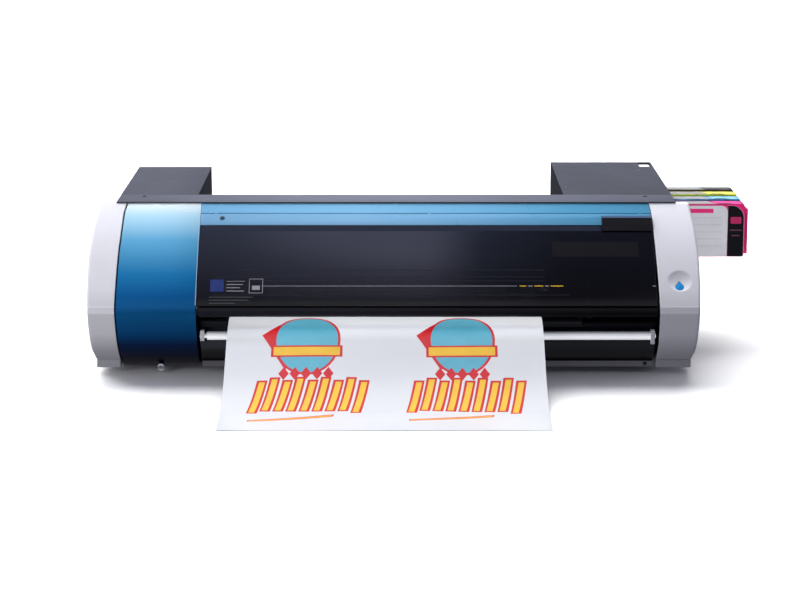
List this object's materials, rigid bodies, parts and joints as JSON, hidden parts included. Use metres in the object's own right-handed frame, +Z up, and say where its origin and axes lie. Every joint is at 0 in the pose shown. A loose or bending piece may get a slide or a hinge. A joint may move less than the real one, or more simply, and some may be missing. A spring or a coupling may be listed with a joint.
{
  "type": "vinyl cutter",
  "caption": "Desktop roll-fed vinyl printer and cutter: light end caps, blue front panels, smoked swing cover, split rear housing, side ink cartridges and a vinyl web over a guide bar.",
  "frame": {"origin": "bottom centre of the box around the whole machine, on the table", "axes": "+Z up, +X along the machine's width towards the ink cartridges, -Y is the front where the vinyl comes out"},
  "size_m": [1.126, 0.8824, 0.276],
  "materials": {
    "cap_plastic": "satin moulded",
    "blue_panel": "metallic blue gloss",
    "housing_paint": "fine powder coat",
    "window": "clear smoke",
    "black_gloss": "gloss",
    "dark_plastic": "fine texture",
    "rail_paint": "satin",
    "steel": "brushed",
    "bright_metal": "polished",
    "aluminium": "satin",
    "rubber": "matt",
    "vinyl": "semi-gloss film",
    "button_light": "translucent, lit",
    "ink_magenta": "gloss",
    "ink_cyan": "gloss",
    "ink_yellow": "gloss",
    "ink_black": "gloss"
  },
  "bodies": {
    "chassis": {"base_tray": "housing_paint", "foot_front_left": "rubber", "foot_front_right": "rubber", "foot_rear_left": "rubber", "foot_rear_right": "rubber", "left_side_frame": "steel", "right_side_frame": "steel", "left_inner_frame": "steel", "left_end_cap": "cap_plastic", "right_end_cap": "cap_plastic", "left_front_cover": "blue_panel", "left_cover_screw": "bright_metal", "top_front_rail": "blue_panel", "roof_front_panel": "housing_paint", "rear_left_cover": "housing_paint", "rear_right_cover": "housing_paint", "rear_centre_panel": "housing_paint", "rear_media_guide": "dark_plastic", "front_platen": "dark_plastic", "rear_platen": "dark_plastic", "outlet_lip": "black_gloss", "lower_front_panel": "black_gloss", "bottom_front_rail": "rail_paint", "media_guide_bar": "bright_metal", "rail_beam": "aluminium", "carriage_belt": "rubber", "carriage_motor": "dark_plastic", "feed_motor": "dark_plastic", "vinyl_sheet": "vinyl", "ink_bay": "dark_plastic", "power_supply": "steel", "power_inlet": "dark_plastic"},
    "front_cover": {"cover_top_rail": "blue_panel", "cover_window": "window", "cover_grip": "black_gloss"},
    "power_button": {"power_button": "button_light"},
    "carriage": {"print_carriage": "dark_plastic", "print_head": "steel"},
    "tool": {"tool_holder": "bright_metal"},
    "drive_pulley": {"belt_drive_pulley": "steel"},
    "idler_pulley": {"belt_idler_pulley": "steel"},
    "cap_station": {"capping_station": "dark_plastic"},
    "lever": {"loading_lever": "blue_panel"},
    "pinch_arm_left": {"pinch_arm_left": "dark_plastic"},
    "pinch_arm_right": {"pinch_arm_right": "dark_plastic"},
    "pinch_roller_left": {"pinch_roller_left": "rubber"},
    "pinch_roller_right": {"pinch_roller_right": "rubber"},
    "feed_roller": {"grit_roller": "steel"},
    "feed_pinion": {"feed_pinion": "steel"},
    "cartridge_magenta": {"ink_cartridge_magenta": "ink_magenta"},
    "cartridge_cyan": {"ink_cartridge_cyan": "ink_cyan"},
    "cartridge_yellow": {"ink_cartridge_yellow": "ink_yellow"},
    "cartridge_black": {"ink_cartridge_black": "ink_black"},
    "media_roll": {"media_roll": "vinyl", "roll_flange_left": "dark_plastic", "roll_flange_right": "dark_plastic"},
    "roll_shaft_front": {"roll_shaft_front": "aluminium"},
    "roll_shaft_rear": {"roll_shaft_rear": "aluminium"},
    "fan": {"cooling_fan_rotor": "dark_plastic"}
  },
  "joints": [
    {"name": "front_cover_hinge", "type": "hinge", "parent": "chassis", "child": "front_cover", "pos_m": [-0.00055, -0.00309, 0.25714], "axis": [-1, 0, 0], "range_deg": [0, 70]},
    {"name": "power_button_press", "type": "slide", "parent": "chassis", "child": "power_button", "axis": [0, 0.7071, -0.7071], "range_m": [0, 0.0015], "stiffness_N_per_m": 300},
    {"name": "carriage_slide", "type": "slide", "parent": "chassis", "child": "carriage", "axis": [-1, 0, 0], "range_m": [0, 0.585]},
    {"name": "drive_pulley_spin", "type": "hinge", "parent": "chassis", "child": "drive_pulley", "pos_m": [0.36915, 0.0548, 0.229], "axis": [0, 0, 1], "continuous": true},
    {"name": "idler_pulley_spin", "type": "hinge", "parent": "chassis", "child": "idler_pulley", "pos_m": [-0.49485, 0.0548, 0.229], "axis": [0, 0, 1], "continuous": true},
    {"name": "tool_drop", "type": "slide", "parent": "carriage", "child": "tool", "axis": [0, 0, -1], "range_m": [0, 0.0025], "stiffness_N_per_m": 500, "springref_m": -0.003},
    {"name": "cap_lift", "type": "slide", "parent": "chassis", "child": "cap_station", "axis": [0, 0, -1], "range_m": [0, 0.008]},
    {"name": "loading_lever_turn", "type": "hinge", "parent": "chassis", "child": "lever", "pos_m": [-0.06985, 0.0718, 0.141], "axis": [-1, 0, 0], "range_deg": [0, 30]},
    {"name": "pinch_arm_left_lift", "type": "hinge", "parent": "chassis", "child": "pinch_arm_left", "pos_m": [-0.28985, 0.0598, 0.129], "axis": [-1, 0, 0], "range_deg": [0, 6]},
    {"name": "pinch_roller_left_spin", "type": "hinge", "parent": "pinch_arm_left", "child": "pinch_roller_left", "pos_m": [-0.28985, 0.0198, 0.108], "axis": [1, 0, 0], "continuous": true},
    {"name": "pinch_arm_right_lift", "type": "hinge", "parent": "chassis", "child": "pinch_arm_right", "pos_m": [0.15015, 0.0598, 0.129], "axis": [-1, 0, 0], "range_deg": [0, 6]},
    {"name": "pinch_roller_right_spin", "type": "hinge", "parent": "pinch_arm_right", "child": "pinch_roller_right", "pos_m": [0.15015, 0.0198, 0.108], "axis": [1, 0, 0], "continuous": true},
    {"name": "feed_roller_spin", "type": "hinge", "parent": "chassis", "child": "feed_roller", "pos_m": [-0.06985, 0.0198, 0.092], "axis": [1, 0, 0], "continuous": true},
    {"name": "feed_pinion_spin", "type": "hinge", "parent": "chassis", "child": "feed_pinion", "pos_m": [-0.39485, -0.01345, 0.092], "axis": [1, 0, 0], "continuous": true},
    {"name": "cartridge_magenta_pull", "type": "slide", "parent": "chassis", "child": "cartridge_magenta", "axis": [1, 0, 0], "range_m": [0, 0.115]},
    {"name": "cartridge_cyan_pull", "type": "slide", "parent": "chassis", "child": "cartridge_cyan", "axis": [1, 0, 0], "range_m": [0, 0.115]},
    {"name": "cartridge_yellow_pull", "type": "slide", "parent": "chassis", "child": "cartridge_yellow", "axis": [1, 0, 0], "range_m": [0, 0.115]},
    {"name": "cartridge_black_pull", "type": "slide", "parent": "chassis", "child": "cartridge_black", "axis": [1, 0, 0], "range_m": [0, 0.115]},
    {"name": "media_roll_spin", "type": "hinge", "parent": "chassis", "child": "media_roll", "pos_m": [-0.06985, 0.2478, 0.10262], "axis": [1, 0, 0], "continuous": true},
    {"name": "roll_shaft_front_spin", "type": "hinge", "parent": "chassis", "child": "roll_shaft_front", "pos_m": [-0.06985, 0.2058, 0.045], "axis": [1, 0, 0], "continuous": true},
    {"name": "roll_shaft_rear_spin", "type": "hinge", "parent": "chassis", "child": "roll_shaft_rear", "pos_m": [-0.06985, 0.2898, 0.045], "axis": [1, 0, 0], "continuous": true},
    {"name": "fan_spin", "type": "hinge", "parent": "chassis", "child": "fan", "pos_m": [-0.45985, 0.3781, 0.173], "axis": [0, 1, 0], "continuous": true}
  ],
  "couplings": [
    {"joint": "drive_pulley_spin", "follows": "carriage_slide", "rad_per_m": -100},
    {"joint": "idler_pulley_spin", "follows": "carriage_slide", "rad_per_m": -100},
    {"joint": "pinch_arm_left_lift", "follows": "loading_lever_turn", "ratio": 0.2},
    {"joint": "pinch_arm_right_lift", "follows": "loading_lever_turn", "ratio": 0.2},
    {"joint": "pinch_roller_left_spin", "follows": "feed_roller_spin", "ratio": -1.5},
    {"joint": "pinch_roller_right_spin", "follows": "feed_roller_spin", "ratio": -1.5},
    {"joint": "feed_pinion_spin", "follows": "feed_roller_spin", "ratio": -2.6667},
    {"joint": "roll_shaft_front_spin", "follows": "media_roll_spin", "ratio": -5.4546},
    {"joint": "roll_shaft_rear_spin", "follows": "media_roll_spin", "ratio": -5.4546}
  ]
}
